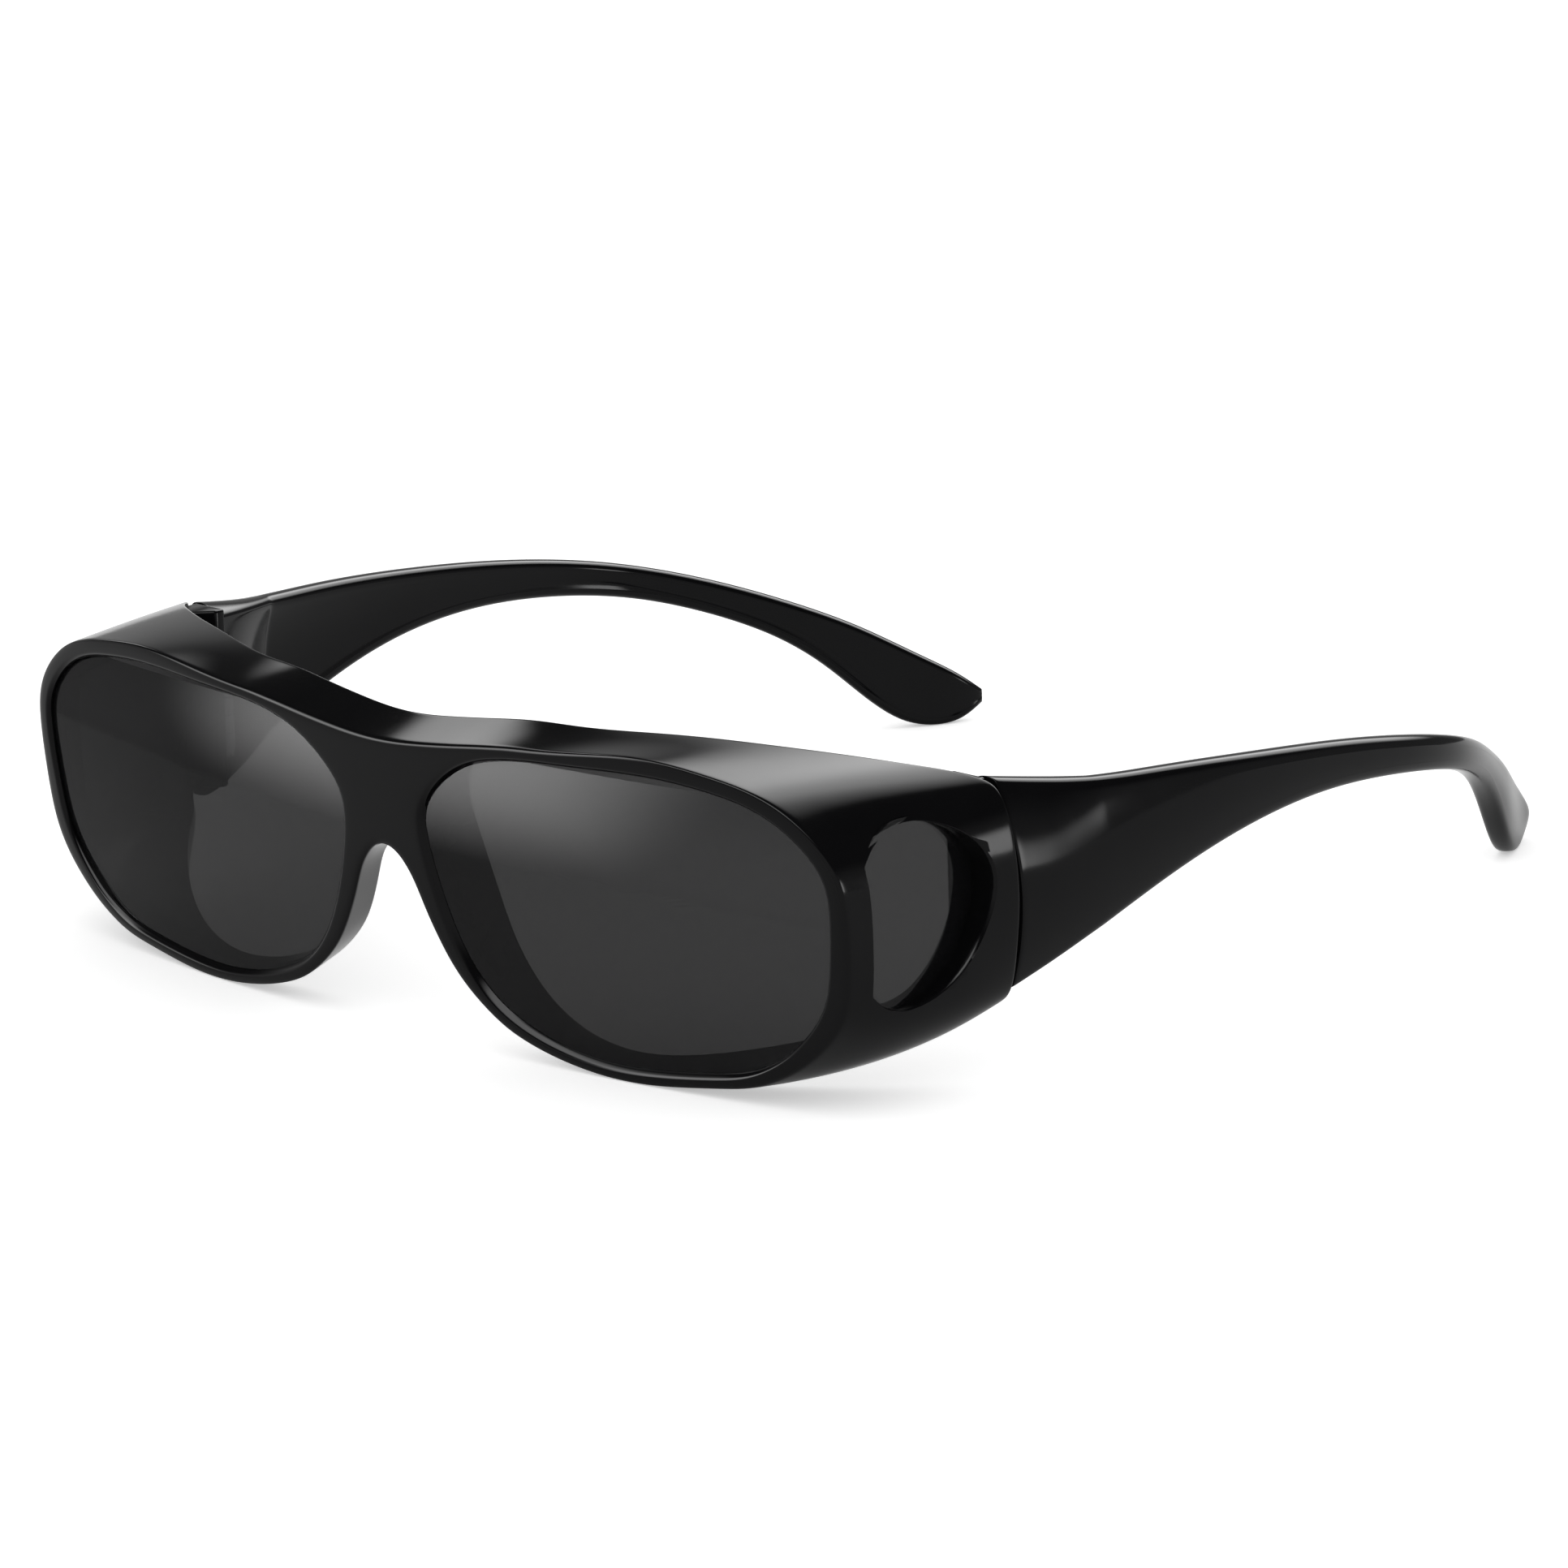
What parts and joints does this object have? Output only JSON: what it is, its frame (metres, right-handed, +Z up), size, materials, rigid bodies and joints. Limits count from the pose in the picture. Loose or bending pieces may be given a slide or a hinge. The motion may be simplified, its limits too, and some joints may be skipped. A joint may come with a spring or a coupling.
{
  "type": "fitover sunglasses",
  "caption": "Wraparound sunglasses worn over other glasses, with tinted front and side lenses, deep brow and cheek walls, and folding temples.",
  "frame": {"origin": "on the table, below the middle of the open glasses' box", "axes": "+Z up, the lenses face -Y, +X is the wearer's left side; X is across the face and Y runs along the temples"},
  "size_m": [0.1618, 0.1656, 0.0443],
  "materials": {
    "frame_plastic": "injection moulded and polished, high gloss black",
    "lens_plastic": "polished, dyed dark grey, see-through",
    "hinge_steel": "stamped, fine brushed",
    "screw_steel": "turned, bright"
  },
  "bodies": {
    "front": {"front_frame": "frame_plastic", "lens_left": "lens_plastic", "lens_right": "lens_plastic", "side_lens_left": "lens_plastic", "side_lens_right": "lens_plastic", "hinge_leaf_front_left": "hinge_steel", "hinge_leaf_front_right": "hinge_steel", "hinge_screw_left": "screw_steel", "hinge_screw_right": "screw_steel"},
    "temple_left": {"temple_left": "frame_plastic", "hinge_leaf_temple_left": "hinge_steel"},
    "temple_right": {"temple_right": "frame_plastic", "hinge_leaf_temple_right": "hinge_steel"}
  },
  "joints": [
    {"name": "left_temple_fold", "type": "hinge", "parent": "front", "child": "temple_left", "pos_m": [0.0687, -0.0458, 0.0255], "axis": [0, 0, 1], "range_deg": [0, 86]},
    {"name": "right_temple_fold", "type": "hinge", "parent": "front", "child": "temple_right", "pos_m": [-0.0687, -0.0458, 0.0255], "axis": [0, 0, -1], "range_deg": [0, 78]}
  ]
}
